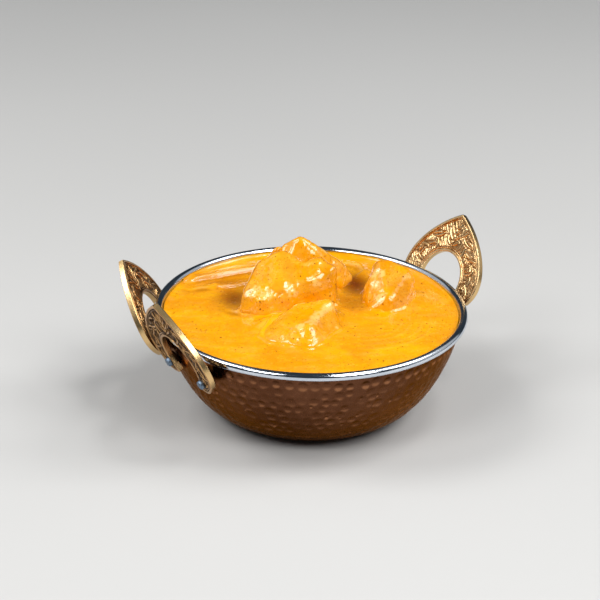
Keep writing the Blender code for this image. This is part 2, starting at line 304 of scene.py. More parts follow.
def nearest(points, line, widths=None):
    """Distance from points to a line, or with widths the depth inside a stroke, below 0 outside it."""
    best = np.full(len(points), np.inf)
    inside = np.full(len(points), -9.0)
    for index in range(len(line) - 1):
        start, step = line[index], line[index + 1] - line[index]
        part = np.clip(((points - start) @ step) / max(step @ step, 1e-12), 0, 1)
        away = lengths(points - start - part[:, None] * step)
        best = np.minimum(best, away)
        if widths is not None:
            width = widths[index] + (widths[index + 1] - widths[index]) * part
            inside = np.maximum(inside, 1 - away / np.maximum(width, 1e-6))
    return best if widths is None else inside


def outline_distance(place, outline):
    """Signed distance in millimetres from (x, y) points to a polygon, negative inside."""
    corners = np.array(outline, float)
    closed = np.concatenate([corners, corners[:1]])
    away = nearest(place, closed)
    inside = np.zeros(len(place), bool)
    for (x1, y1), (x2, y2) in zip(closed, closed[1:]):
        crosses = (y1 > place[:, 1]) != (y2 > place[:, 1])
        rise = y2 - y1 if y2 != y1 else 1e-9
        inside ^= crosses & (place[:, 0] < (x2 - x1) * (place[:, 1] - y1) / rise + x1)
    return np.where(inside, -away, away)


# ---- meshes

def numbers(elements, key):
    """The three numbers under key of each vertex or normal of a mesh, one row each."""
    values = np.empty(len(elements) * 3)
    elements.foreach_get(key, values)
    return values.reshape(-1, 3)


def grid_faces(rows, columns, wrap=False, start=0):
    """Quads between the points of a grid stored row by row; wrap joins the last column to the first."""
    row = np.arange(rows - 1)[:, None]
    column = np.arange(columns if wrap else columns - 1)[None, :]
    after = (column + 1) % columns
    corners = [row * columns + column, row * columns + after, (row + 1) * columns + after,
               (row + 1) * columns + column]
    return np.stack([corner.ravel() for corner in corners], axis=1) + start


def turned(radius, height, columns):
    """Points turned round the axis, row by row, from rows of radii and heights."""
    angle = np.arange(columns) / columns * 2 * np.pi
    parts = np.broadcast_arrays(radius * np.cos(angle), radius * np.sin(angle), height)
    return np.stack(parts, axis=2).reshape(-1, 3)


def turned_solid(profile, columns):
    """A profile of (radius, height), turned and closed at both ends: its points, sides and caps."""
    profile = np.asarray(profile)
    points = turned(profile[:, :1], profile[:, 1:], columns)
    sides = grid_faces(len(profile), columns, True)[:, ::-1]
    caps = [list(range(columns)), list(range(len(points) - columns, len(points)))[::-1]]
    return points, sides, caps


def show(name, data):
    made = bpy.data.objects.new(name, data)
    bpy.context.scene.collection.objects.link(made)
    return made


def mesh_piece(name, points, faces, material, sharp=None):
    """A smooth-shaded mesh object; faces is a list of index arrays or index lists."""
    mesh = bpy.data.meshes.new(name)
    polygons = []
    for group in faces:
        polygons += group.tolist() if isinstance(group, np.ndarray) else group
    mesh.from_pydata(np.asarray(points).tolist(), [], polygons)
    mesh.shade_smooth()
    if sharp:
        mesh.set_sharp_from_angle(angle=radians(sharp))
    mesh.materials.append(material)
    return show(name, mesh)


def give(piece, attribute, values):
    """Stores one number for each point, for the materials to read; points without a value get 0."""
    layer = piece.data.attributes.new(attribute, "FLOAT", "POINT")
    stored = np.zeros(len(piece.data.vertices), np.float32)
    stored[:len(values)] = values
    layer.data.foreach_set("value", stored)


def declare(piece, slot, *nodes):
    """Tells the frame what the piece rides on and the nodes it stands for; slot, its material slot, is not
    used.
    """
    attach(piece, "root")
    if nodes:
        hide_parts(*nodes)
    return piece


# ---- materials

class Shader:
    """A Principled material with short calls for its nodes. Noise scales are cells to the metre."""

    def __init__(self, name, **values):
        self.material = bpy.data.materials.new(name)
        self.material.use_nodes = True
        self.tree = self.material.node_tree
        self.principled = self.tree.nodes["Principled BSDF"]
        for socket, value in values.items():
            self.principled.inputs[socket.replace("_", " ")].default_value = value
        self.place = self.node("ShaderNodeTexCoord", output="Object")

    def feed(self, socket, source):
        if hasattr(source, "links"):
            self.tree.links.new(source, socket)
        else:
            socket.default_value = source

    def node(self, kind, inputs=(), output=0, **settings):
        """Adds a node, feeds its inputs, which are pairs or a dictionary, and returns one output."""
        made = self.tree.nodes.new(kind)
        for key, value in settings.items():
            setattr(made, key, value)
        for socket, source in dict(inputs).items():
            self.feed(made.inputs[socket], source)
        return made.outputs[output]

    def stretched(self, scale):
        return self.node("ShaderNodeMapping", {"Scale": scale, "Vector": self.place})

    def noise(self, scale, detail=3.0, roughness=0.5, place=None, distortion=0.0):
        inputs = {"Vector": place or self.place, "Scale": scale, "Detail": detail,
                  "Roughness": roughness, "Distortion": distortion}
        return self.node("ShaderNodeTexNoise", inputs, "Fac")

    def cells(self, scale):
        return self.node("ShaderNodeTexVoronoi", {"Vector": self.place, "Scale": scale}, "Distance")

    def stored(self, attribute):
        return self.node("ShaderNodeAttribute", output="Fac", attribute_name=attribute)

    def spread(self, source, low, high, to_low=0.0, to_high=1.0):
        inputs = enumerate((source, low, high, to_low, to_high))
        return self.node("ShaderNodeMapRange", inputs, interpolation_type="SMOOTHSTEP")

    def maths(self, operation, first, second):
        return self.node("ShaderNodeMath", enumerate((first, second)), operation=operation)

    def mix(self, factor, first, second):
        return self.node("ShaderNodeMix", {0: factor, 6: first, 7: second}, 2, data_type="RGBA")

    def bump(self, height, distance, strength):
        inputs = {"Distance": distance, "Strength": strength, "Height": height}
        return self.node("ShaderNodeBump", inputs, "Normal")

    def drive(self, socket, source):
        self.feed(self.principled.inputs[socket], source)


def colour(red, green, blue):
    """A colour written as it looks on the screen, 0 to 255, as linear values."""
    parts = [part / 255 for part in (red, green, blue)]
    linear = [part / 12.92 if part < 0.04045 else ((part + 0.055) / 1.055) ** 2.4 for part in parts]
    return linear + [1.0]


def copper_material():
    """Browned copper, with painted shade at the top of each dent and a painted highlight at its foot."""
    made = Shader("hammered_copper", Metallic=1.0, Specular_Tint=(0.80, 0.55, 0.40, 1))
    worn = made.noise(28, 4, 0.55)
    stain = made.noise(420, 4, 0.6)
    base = made.mix(made.spread(worn, 0.3, 0.7), colour(89, 55, 37), colour(108, 70, 49))
    stained = made.mix(made.spread(stain, 0.45, 0.8, 0.0, 0.45), base, colour(86, 50, 30))
    # Painted shade at the top of each dent and a painted highlight at its foot
    painted_dent_shade = made.spread(made.stored("painted_dent_shade"), 0.05, 0.9, 0.0, 0.8)
    dent_shaded = made.mix(painted_dent_shade, stained, colour(54, 30, 16))
    painted_dent_light = made.spread(made.stored("painted_dent_light"), 0.05, 0.9, 0.0, 0.7)
    made.drive("Base Color", made.mix(painted_dent_light, dent_shaded, colour(170, 116, 80)))
    made.drive("Roughness", made.spread(stain, 0.3, 0.75, 0.24, 0.34))
    grain = made.noise(900, 3, 0.6)
    made.drive("Normal", made.bump(grain, 0.00003, 0.25))
    return made.material


def steel_material(name, dark, light, smoothest):
    """Steel with faint smudges and hairlines: its two screen colours and its lowest roughness."""
    made = Shader(name, Metallic=1.0)
    smudge = made.noise(60, 3, 0.5)
    made.drive("Base Color", made.mix(made.spread(smudge, 0.3, 0.7), colour(*dark), colour(*light)))
    made.drive("Roughness", made.spread(smudge, 0.3, 0.75, smoothest, smoothest + 0.09))
    hairline = made.noise(260, 4, 0.7, place=made.stretched((1, 1, 30)))
    made.drive("Normal", made.bump(hairline, 0.00003, 0.35))
    return made.material


def brass_material(name, brass_darkness):
    """Cast brass: bright where it is rubbed, brown in the recesses. Its darkness number is 0 for clean, 1
    for dark.
    """
    def toward_dark(clean, dark):
        return colour(*[start + (end - start) * brass_darkness for start, end in zip(clean, dark)])

    made = Shader(name, Metallic=1.0)
    rubbed = made.stored("relief")
    cloud = made.noise(220, 4, 0.6)
    bright = made.mix(made.spread(cloud, 0.3, 0.7), toward_dark((218, 178, 124), (188, 138, 84)),
                      toward_dark((238, 206, 156), (206, 162, 106)))
    bright = made.mix(made.spread(rubbed, 1.05, 1.15), bright, colour(228, 192, 136))
    brown = made.mix(made.spread(cloud, 0.35, 0.7), toward_dark((158, 116, 68), (58, 38, 20)),
                     toward_dark((190, 146, 96), (72, 50, 28)))
    uneven = made.maths("ADD", rubbed, made.spread(cloud, 0.2, 0.8, -0.15, 0.15))
    clean = made.spread(uneven, 0.22 + 0.23 * brass_darkness, 0.55 + 0.32 * brass_darkness)
    made.drive("Base Color", made.mix(clean, brown, bright))
    made.drive("Roughness", made.spread(clean, 0.0, 1.0, 0.5, 0.27))
    sand = made.noise(1500, 3, 0.6)
    made.drive("Normal", made.bump(sand, 0.00005, 0.5))
    return made.material


def sauce_material(name, cream_and_sheen_share, mottled, gloss):
    """Curry sauce: how strongly its pale marks show, how mottled it is and how much it shines.

    It reads three stored marks: the pale one, partly cream and partly painted highlight; painted shade;
    and dry for where it doesn't shine.
    """
    made = Shader(name, Coat_Roughness=0.05, Coat_IOR=1.58, Specular_IOR_Level=0.15)
    drift = made.noise(38, 4, 0.6, distortion=0.8)
    mottle = made.noise(420, 3, 0.6)
    base = made.mix(made.spread(drift, 0.32, 0.68), colour(236, 151, 0), colour(250, 173, 0))
    base = made.mix(made.spread(mottle, 0.5, 0.75, 0.0, 0.3), base, colour(254, 186, 0))
    curds = made.spread(made.noise(2100, 3, 0.6), 0.48, 0.64, 0.0, mottled)
    patchy = made.spread(made.noise(190, 3, 0.6), 0.42, 0.62)
    base = made.mix(made.maths("MULTIPLY", curds, patchy), base, colour(255, 212, 96))
    oily = made.spread(made.noise(270, 3, 0.6), 0.5, 0.75, 0.0, mottled)
    base = made.mix(oily, base, colour(232, 144, 0))
    # Pale marks: partly cream, partly painted highlight
    base = made.mix(made.maths("MULTIPLY", made.stored("cream_and_sheen"), cream_and_sheen_share), base, colour(255, 212, 122))
    # Painted shade: in dips, at the foot of creases and in the low parts of the chicken
    base = made.mix(made.stored("painted_shade"), base, colour(130, 63, 0))
    dust = made.spread(made.cells(900), 0.10, 0.17, 1.0, 0.0)
    sparse = made.spread(made.noise(300, 2), 0.56, 0.64)
    dusty = made.maths("MULTIPLY", made.maths("MULTIPLY", dust, sparse), 0.55)
    made.drive("Base Color", made.mix(dusty, base, colour(170, 84, 8)))
    made.drive("Roughness", made.spread(mottle, 0.3, 0.75, 0.16, 0.30))
    skin = made.bump(made.noise(620, 3, 0.5), 0.00012, 0.5)
    made.drive("Normal", skin)
    made.drive("Coat Normal", skin)
    wet = made.spread(made.noise(240, 4, 0.6), 0.34, 0.48, 0.55 * gloss, gloss)
    kept = made.spread(made.stored("dry"), 0.0, 1.0, 1.0, 0.08)
    made.drive("Coat Weight", made.maths("MULTIPLY", wet, kept))
    return made.material


def spice_material():
    made = Shader("spice", Specular_IOR_Level=0.1)
    tone = made.noise(400, 1)
    made.drive("Base Color", made.mix(made.spread(tone, 0.4, 0.6), colour(126, 56, 4), colour(186, 98, 6)))
    made.drive("Roughness", made.spread(tone, 0.3, 0.7, 0.45, 0.7))
    return made.material


# ---- the bowl

def wall_curve(inset, spacing):
    """The wall as (radius, height) from lip to base, moved in by inset, its way in and its run."""
    turn = np.linspace(0, 1, 4001) * np.pi / 2
    cosine = np.maximum(np.cos(turn), 0)
    radius = BASE_RADIUS + (COPPER_RADIUS - BASE_RADIUS) * cosine ** WALL_FULLNESS
    curve = np.stack([radius, COPPER_HEIGHT * (1 - np.sin(turn) ** WALL_DROP)], axis=1)
    run = run_along(curve)
    steps = np.linspace(0, run[-1], int(run[-1] / spacing) + 1)
    even = at_run(steps, run, curve)
    along = headings(even)
    inward = np.stack([along[:, 1], -along[:, 0]], axis=1)
    return even + inward * inset, inward, steps


def hammer_marks(run, radius, random):
    """Rows of dents and scattered pecks, as (angle, run down the wall, radius, depth)."""
    marks = []
    level = FIRST_ROW
    row = TOP_ROW
    while level < run[-1] + BASE_RADIUS * 0.8:
        on_base = BASE_RADIUS + run[-1] - level
        around = np.interp(level, run, radius) if level < run[-1] else on_base
        count = max(int(2 * np.pi * around / row["pitch"]), 5)
        offset = random.random()
        for index in range(count):
            angle = (index + offset + random.uniform(-0.16, 0.16)) / count * 2 * np.pi
            size = random.uniform(*row["radii"])
            depth = MARK_DEPTH * random.uniform(*row["depths"])
            place = level + random.uniform(-row["stray"], row["stray"])
            marks.append((angle, place, size, depth))
        level += row["step"]
        row = LOWER_ROW
    for _ in range(PECKS):
        marks.append((random.uniform(0, 2 * np.pi), random.uniform(0.006, run[-1]),
                      random.uniform(0.0006, 0.0011), MARK_DEPTH * random.uniform(0.5, 0.9)))
    return marks


def dent(marks, run, radius, columns):
    """How deep the hammer marks push each point of the wall's grid."""
    depth = np.zeros((len(run), columns))
    for angle, place, size, deepest in marks:
        rows = np.nonzero(np.abs(run - place) < size)[0]
        if not len(rows):
            continue
        around = np.maximum(radius[rows], 0.002)
        half = min(int(size / around.min() / (2 * np.pi) * columns) + 2, columns // 2)
        middle = int(round(angle / (2 * np.pi) * columns))
        wide = np.arange(middle - half, middle + half)
        across = (wide / columns * 2 * np.pi - angle)[None, :] * around[:, None]
        away = (across ** 2 + (run[rows] - place)[:, None] ** 2) / size ** 2
        cup = deepest * np.clip(1 - away, 0, None)
        block = np.ix_(rows, wide % columns)
        depth[block] = np.maximum(depth[block], cup)
    return depth


def make_copper(material):
    """The hammered outer skin: dented outside, plain inside, where the liner covers it."""
    columns = 680
    random = np.random.default_rng(SEED)
    wall, inward, run = wall_curve(0, 0.00060)
    base_radius = np.linspace(BASE_RADIUS, 0.0012, 15)[1:]
    radius = np.concatenate([wall[:, 0], base_radius])
    height = np.concatenate([wall[:, 1], np.zeros(len(base_radius))])
    push = np.concatenate([inward, np.tile([0.0, 1.0], (len(base_radius), 1))])
    whole_run = np.concatenate([run, run[-1] + BASE_RADIUS - base_radius])
    depth = dent(hammer_marks(run, wall[:, 0], random), whole_run, radius, columns)

    # No dents at the lip, nor on the ring that the bowl stands on
    depth *= smoothstep(0.0, 0.0016, whole_run)[:, None]
    within_ring = smoothstep(BASE_RADIUS - 0.002, BASE_RADIUS - 0.004, radius)
    above_ring = smoothstep(0.0002, 0.002, height)
    depth *= np.clip(within_ring + above_ring, 0, 1)[:, None]

    outer = turned(radius[:, None] + push[:, :1] * depth, height[:, None] + push[:, 1:] * depth, columns)
    inner_wall, _, _ = wall_curve(COPPER_THICKNESS, 0.006)
    inner_wall[-1] = (BASE_RADIUS, COPPER_THICKNESS)
    inner = turned(inner_wall[:, :1], inner_wall[:, 1:], columns)
    points = np.concatenate([outer, inner])
    inner_start = len(outer)
    lip = [[inner_start + index, inner_start + (index + 1) % columns, (index + 1) % columns, index]
           for index in range(columns)]
    outer_faces = grid_faces(len(radius), columns, True)[:, ::-1]
    inner_faces = grid_faces(len(inner_wall), columns, True, inner_start)
    caps = [list(range(inner_start - columns, inner_start))[::-1],
            list(range(len(points) - columns, len(points)))]
    piece = mesh_piece("hammered_skin", points, [outer_faces, inner_faces, lip, caps], material, 60)
    # Painted shade where a dent's upper half faces down, and a painted highlight where its lower half
    # faces up
    slope = np.gradient(depth, whole_run, axis=0) / FULL_SLOPE
    give(piece, "painted_dent_shade", np.clip(slope, 0, 1).ravel())
    give(piece, "painted_dent_light", np.clip(-slope, 0, 1).ravel())
    return declare(piece, "hammered_copper", "copper_shell")


def make_liner(material):
    """The polished steel liner with its rolled rim."""
    centre_radius = 0.0008
    floor = LINER_INSET + STEEL_THICKNESS
    inner, _, _ = wall_curve(floor, 0.0012)
    outer, _, _ = wall_curve(LINER_INSET, 0.0040)
    inner[-1] = (BASE_RADIUS, floor)
    outer[-1] = (BASE_RADIUS, LINER_INSET)
    turn = np.radians(np.linspace(180, -144, 40))
    bead = np.stack([RIM_RADIUS - BEAD_RADIUS + BEAD_RADIUS * np.cos(turn),
                     RIM_HEIGHT + BEAD_RADIUS * np.sin(turn)], axis=1)
    profile = np.concatenate([[[centre_radius, floor]], inner[::-1], bead, outer,
                              [[centre_radius, LINER_INSET]]])
    points, sides, caps = turned_solid(profile, 320)
    piece = mesh_piece("steel_liner", points, [sides, caps], material, 60)
    return declare(piece, "polished_steel", "steel_bowl")


# ---- the handles

def handle_matrix(place):
    """Local X runs along the rim, local Y up the plate and local Z out of its outer face."""
    facing = radians(place["facing"])
    lean = radians(place["lean"])
    outward = Vector((cos(facing), sin(facing), 0))
    sideways = Vector((-sin(facing), cos(facing), 0))
    tip = outward * (place["reach"] + place["tip_height"] * tan(lean))
    tip += sideways * place["shift"]
    tip.z = RIM_HEIGHT + place["tip_height"]
    turn = Matrix.Rotation(facing + pi / 2, 4, "Z")
    turn @= Matrix.Rotation(pi / 2 + lean, 4, "X")
    turn @= Matrix.Rotation(radians(place["turn"]), 4, "Z")
    return Matrix.Translation(tip) @ turn


def arch_edges():
    """The right half's outer edge, tip to leg end, and inner edge, opening top to leg end.

    Each knot is a point with the handles by which the curve arrives at it and leaves it.
    """
    leg_end = -ARCH_LENGTH
    shoulder = -ARCH_WIDEST + 0.0125
    opening_top = -OPENING_DROP + OPENING_RADIUS
    round_handle = OPENING_RADIUS * 0.552
    widest = ARCH_HALF_WIDTH
    knots = [
        ((0, 0), None, (0.0125, -0.006)),
        ((widest, -ARCH_WIDEST), (widest, shoulder), (widest, -ARCH_WIDEST - 0.006)),
        ((0.0190, leg_end + 0.0010), (0.0224, leg_end + 0.0034), (0.0168, leg_end - 0.0006)),
        ((0.0115, leg_end), (0.0135, leg_end - 0.0004), (0.0093, leg_end + 0.0004)),
        ((LEG_INNER, leg_end + 0.0025), (LEG_INNER - 0.0004, leg_end + 0.0012),
         (0.0112, leg_end + 0.0044)),
        ((OPENING_RADIUS, -OPENING_DROP), (OPENING_RADIUS, -OPENING_DROP - 0.0046),
         (OPENING_RADIUS, -OPENING_DROP + round_handle)),
        ((0, opening_top), (round_handle, opening_top), None),
    ]
    runs = []
    for (start, _, leave), (end, arrive, _) in zip(knots, knots[1:]):
        bezier = interpolate_bezier(*[Vector((*point, 0)) for point in (start, leave, arrive, end)], 60)
        runs.append([tuple(point.xy) for point in bezier])
    outer = np.array(runs[0] + runs[1][1:] + runs[2][1:])
    inner = np.array((runs[3] + runs[4][1:] + runs[5][1:])[::-1])
    return outer, inner


def curl(centre, radius, start, sweep, width, shrink=0.75, count=18):
    """A spiral stroke: its points, and widths that thin out towards its middle."""
    part = np.linspace(0, 1, count)
    angle = np.radians(start + sweep * part)
    reach = radius * (1 - shrink * part)
    line = np.stack([centre[0] + reach * np.cos(angle), centre[1] + reach * np.sin(angle)], axis=1)
    return line, width * (1 - 0.35 * part)


def leaf(root, heading, length, width, bend, count=9):
    """A tapering curved stroke from its root: its points and widths."""
    part = np.linspace(0, 1, count)
    angle = np.radians(heading + bend * part)[:-1]
    steps = np.stack([np.cos(angle), np.sin(angle)], axis=1) * length / (count - 1)
    line = np.concatenate([[root], np.array(root) + np.cumsum(steps, axis=0)])
    return line, width * np.sin(np.pi * (0.18 + 0.80 * part)) ** 0.8


def band_strokes(length, random):
    """Foliage along a straight band: a waving stem with long leaves sweeping off both sides."""
    run = np.linspace(1.0, length + 3, 90)
    stem = np.stack([run, STEM_SWAY * np.sin(2 * np.pi * run / STEM_WAVE)], axis=1)
    strokes = [(stem, np.full(len(run), STEM_WIDTH))]
    side = 1
    place = 0.5
    while place < length + 2:
        turn = 2 * np.pi * place / STEM_WAVE
        slope = degrees(atan(STEM_SWAY * cos(turn) * 2 * np.pi / STEM_WAVE))
        root = (place, STEM_SWAY * sin(turn) + side * 0.5)
        heading = slope + side * random.uniform(30, 42)
        reach = LEAF_LENGTH - side * sin(turn) + random.uniform(-0.5, 0.8)
        strokes.append(leaf(root, heading, reach, LEAF_WIDTH, side * random.uniform(-75, 95)))
        side = -side
        place += LEAF_PITCH * random.uniform(0.9, 1.1)
    return strokes


def tip_strokes():
    """The palmette that fills the arch's point, right half, in millimetres from the tip."""
    strokes = [leaf((0, -17.4), 90, 12.6, 0.95, 0), curl((2.3, -14.6), 2.0, 200, -330, 0.5)]
    for index, (drop, length) in enumerate(((-16.0, 5.0), (-13.2, 6.3), (-10.4, 5.4), (-7.6, 4.0))):
        strokes.append(leaf((0.7, drop), 18 + 11 * index, length, 0.66, 62 - 8 * index))
    return strokes


def arch_strokes(outer, inner, random):
    """All strokes of the relief's right half in the plate's own place, in millimetres."""
    count = 80
    middle = (evenly(outer, count) * 0.5 + evenly(inner, count) * 0.5) / MM
    run = run_along(middle)
    along = headings(middle)
    across = np.stack([-along[:, 1], along[:, 0]], axis=1)
    strokes = tip_strokes()
    for line, widths in band_strokes(run[-1] - STEM_START, random):
        at = line[:, 0] + STEM_START
        strokes.append((at_run(at, run, middle) + at_run(at, run, across) * line[:, 1:], widths))
    return strokes


def relief(points, outer, inner, strokes, seed):
    """The face's height under the plate's full thickness, 0 to -FIELD_DEPTH, and how rubbed it is."""
    right = np.column_stack([np.abs(points[:, 0]), points[:, 1]])
    from_outer = nearest(right, outer[::3])
    from_inner = nearest(right, inner[::3])
    edge = np.minimum(from_outer, from_inner)

    # The field of slanted, wavering grooves
    flat = flat_points(right)
    slanted = right[:, 0] - GROOVE_SLANT * right[:, 1] + 0.0016 * lattice_noise(flat / 0.0052, seed)
    slanted += 0.0006 * lattice_noise(flat / 0.0021, seed + 1)
    groove = np.abs(np.sin(slanted / GROOVE_PITCH * np.pi)) ** 0.8
    height = -FIELD_DEPTH + GROOVE_HEIGHT * groove + 0.00006 * lattice_noise(flat / 0.0012, seed + 3)

    # The foliage: round-backed strokes, each over those before it
    for line, widths in strokes:
        margin = widths.max() * 1.7
        boxed = (right / MM > line.min(0) - margin) & (right / MM < line.max(0) + margin)
        near = np.nonzero(np.all(boxed, axis=1))[0]
        if not len(near):
            continue
        inside = nearest(right[near] / MM, line, widths * 1.1)
        ridge = -FIELD_DEPTH + FIELD_DEPTH * 0.96 * np.sqrt(np.clip(1 - (1 - inside) ** 2, 0, 1))
        around = np.where(inside > -MOAT, -FIELD_DEPTH, height[near])
        height[near] = np.where(inside > 0, ridge, around)

    # The pearls, the raised line and the border
    closest = np.argmin(((right[:, None, :] - inner[None, ::3, :]) ** 2).sum(2), axis=1) * 3
    from_pearl = ((run_along(inner)[closest] / PEARL_PITCH) % 1 - 0.5) * PEARL_PITCH
    ball = 1 - (from_pearl ** 2 + (from_inner - BORDER - LINE_INSET) ** 2) / PEARL_RADIUS ** 2
    pearls = -FIELD_DEPTH + PEARL_RISE * np.sqrt(np.clip(ball, 0, 1))
    pearled = (from_inner > BORDER) & (from_inner < BORDER + PEARL_BAND)
    height = np.where(pearled, pearls, height)
    height = np.where(from_outer < BORDER + LINE_BAND, -FIELD_DEPTH, height)
    from_line = np.clip(np.abs(from_outer - BORDER - LINE_INSET) - LINE_HALF_WIDTH, 0, None)
    height = np.maximum(height, -LINE_HALF_WIDTH - LINE_SLOPE * from_line)
    height = np.maximum(height, -FIELD_DEPTH * smoothstep(BORDER - 0.00018, BORDER + 0.00010, edge))

    # The rivet's flat seat, and softened arrises
    from_rivet = lengths(right - np.array([RIVET_OFFSET, -RIVET_DROP]))
    seat = smoothstep(*SEAT_EDGE, from_rivet)
    height = np.maximum(height * (1 - seat) - SEAT_DEPTH * seat, -FIELD_DEPTH)
    rubbed = 1 + height / FIELD_DEPTH
    height -= ARRIS_DROP * np.clip(1 - edge / ARRIS_WIDTH, 0, 1) ** 2
    return height, rubbed


def plate_mesh(seed):
    """The arch plate with relief on both faces, its inner face on local z = 0, and how rubbed it is."""
    random = np.random.default_rng(seed)
    outer, inner = arch_edges()
    half, wide = 205, 60
    right_outer, right_inner = evenly(outer, half), evenly(inner, half)
    mirror = np.array([-1, 1])
    far = np.concatenate([right_outer[:0:-1] * mirror, right_outer])
    near = np.concatenate([right_inner[:0:-1] * mirror, right_inner])
    part = np.linspace(0, 1, wide)
    crowded = (part - 0.45 * np.sin(2 * np.pi * part) / (2 * np.pi))[None, :, None]
    face = (near[:, None, :] * (1 - crowded) + far[:, None, :] * crowded).reshape(-1, 2)
    rows = len(far)
    height, rubbed = relief(face, outer, inner, arch_strokes(outer, inner, random), seed)
    count = len(face)
    front = np.column_stack([face, HANDLE_THICKNESS + height])
    back = np.column_stack([face, -height])
    index = np.arange(count).reshape(rows, wide)
    loop = np.concatenate([index[0, :], index[1:, -1], index[-1, -2::-1], index[-2:0:-1, 0]])
    levels = 4
    rings = [front[loop] + (back[loop] - front[loop]) * level / (levels + 1)
             for level in range(1, levels + 1)]
    points = np.concatenate([front, back] + rings)
    size = len(loop)
    bands = [loop] + [2 * count + level * size + np.arange(size) for level in range(levels)]
    bands.append(loop + count)
    sides = [np.stack([upper, np.roll(upper, -1), np.roll(lower, -1), lower], axis=1)
             for upper, lower in zip(bands, bands[1:])]
    faces = [grid_faces(rows, wide), grid_faces(rows, wide, start=count)[:, ::-1]] + sides
    worn = np.concatenate([rubbed, rubbed, np.full(levels * size, EDGE_RUB)])
    worn[loop] = EDGE_RUB
    worn[loop + count] = EDGE_RUB
    return points, faces, worn


def lug_mesh(reach):
    """A round boss with a softened end, from inside the plate to its end face at local z = -reach."""
    soft = 0.0004
    root = 0.0008
    middle = 0.0002
    profile = [(middle, root), (LUG_RADIUS, root), (LUG_RADIUS, soft - reach),
               (LUG_RADIUS - soft * 0.3, soft * 0.3 - reach), (LUG_RADIUS - soft, -reach),
               (middle, -reach)]
    return turned_solid(profile, 40)


def make_handle(name, place, brass, steel, seed):
    """One handle with its two rivets, and its two lugs, which reach as far as in the CAD."""
    matrix = handle_matrix(place)
    corners = placed(numbers(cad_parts[name].data.vertices, "co"), matrix.inverted())
    points, faces, worn = plate_mesh(seed)
    spots = [Vector((side * RIVET_OFFSET, -RIVET_DROP, 0)) for side in (-1, 1)]
    for spot in spots:
        close = lengths(corners[:, :2] - np.array(spot.xy)) < LUG_RADIUS * 1.05
        reach = max(-corners[close][:, 2].min(), SHORTEST_LUG)
        lug_points, lug_sides, lug_caps = lug_mesh(reach)
        start = len(points)
        points = np.concatenate([points, lug_points + np.array(spot)])
        faces += [lug_sides + start, [[corner + start for corner in cap] for cap in lug_caps]]
        worn = np.concatenate([worn, np.full(len(lug_points), LUG_RUB)])
    piece = mesh_piece(f"{name}_cast", placed(points, matrix), faces, brass, 50)
    give(piece, "relief", worn)
    declare(piece, "cast_brass", name)
    for number, spot in enumerate(spots, 1):
        make_rivet(f"{name}_rivet_{number}", matrix @ Matrix.Translation(spot), steel)


def make_rivet(node, matrix, steel):
    """A low domed steel head, seated a little way into the plate."""
    part = np.linspace(0.02, 1, 14)
    dome = RIVET_HEAD_HEIGHT * (1 - part ** 9) ** 0.5 * (1 - 0.10 * part ** 2)
    profile = list(zip(RIVET_HEAD_RADIUS * part, HANDLE_THICKNESS + GAP + dome))
    foot = HANDLE_THICKNESS - 0.0005
    profile += [(RIVET_HEAD_RADIUS, HANDLE_THICKNESS - 0.0001), (RIVET_HEAD_RADIUS - 0.0002, foot),
                (0.0002, foot)]
    points, sides, caps = turned_solid(profile, 40)
    piece = mesh_piece(f"{node}_head", placed(points, matrix), [sides, caps], steel, 40)
    declare(piece, "polished_steel", node)


# ---- the food

def sauce_height(place):
    """Metres over the sauce level at (x, y) places in millimetres, with the pale marks, partly cream and
    partly painted highlight, and the painted shade.
    """
    flat = flat_points(place)
    radius = lengths(place)
    height = sum(rise * fractal(flat, size, 2, seed) for rise, size, seed in SWELLS)
    cream_and_sheen = 0.35 * smoothstep(0.2, 0.9, fractal(flat * np.array([1, 2.2, 1]), 9, 3, 31))
    painted_shade = np.zeros(len(place))

    # Creases, with a painted highlight on their near slope and painted shade at its foot
    for line, crest, front, back in FOLDS:
        smooth = evenly(np.array(line, float), 32)
        away = nearest(place, smooth)
        closest = np.argmin(((place[:, None, :] - smooth[None]) ** 2).sum(2), axis=1)
        direction = np.gradient(smooth, axis=0)[closest]
        offset = place - smooth[closest]
        behind = direction[:, 0] * offset[:, 1] - direction[:, 1] * offset[:, 0] > 0
        from_start = lengths(place - smooth[0])
        from_end = lengths(place - smooth[-1])
        ends = smoothstep(0, 6, from_start) * smoothstep(0, 5, from_end)
        height += crest * bell(away, np.where(behind, back, front)) * (0.35 + 0.65 * ends)
        cream_and_sheen = np.maximum(cream_and_sheen, 1.8 * ends * bell(away - 0.5 * front, 0.8) * ~behind)
        painted_shade = np.maximum(painted_shade, 0.5 * bell(away - 1.9 * front, 2.2) * ~behind * ends)

    # Each dip sinks the sauce and darkens it with painted shade
    for (x, y), wide, tall, depth, shade_share in HOLLOWS:
        near = bell(place[:, 0] - x, wide) * bell(place[:, 1] - y, tall)
        height += depth * near
        painted_shade = np.maximum(painted_shade, shade_share * near)
    for line, crest, reach in HEAPS:
        height += crest * bell(nearest(place, evenly(np.array(line, float), 16)), reach)
    for reach in SWIRL_RADII:
        offset = place - np.array(SWIRL_CENTRE)
        turn = np.arctan2(offset[:, 1], offset[:, 0])
        near = bell(lengths(offset) - reach, 0.8)
        near *= smoothstep(-1.9, -1.3, turn) * smoothstep(0.4, -0.3, turn)
        height += 0.16 * near
        cream_and_sheen = np.maximum(cream_and_sheen, 0.3 * near)

    # The sauce rounds up against the chunks, with a broken ripple beside them, and up the rim
    ripple = 0.40 * smoothstep(-0.1, 0.7, fractal(flat, 9, 2, 41))
    wander = 0.8 * fractal(flat, 6, 2, 43)
    for node, outline in CHUNKS.items():
        look = CHUNK_LOOKS[node]
        away = np.maximum(outline_distance(place, outline) + wander, 0)
        height += np.clip(look["fillet"] - away, 0, None) + look["climb"] * bell(away, 5)
        height += ripple * bell(away - 1.7, 0.6)
    rim_climb = 1.0 + 0.9 * smoothstep(0, 45, place[:, 1])
    height += rim_climb * np.exp(-(70.6 - radius) / 1.2)
    return height * MM, cream_and_sheen, np.clip(painted_shade, 0, 1)


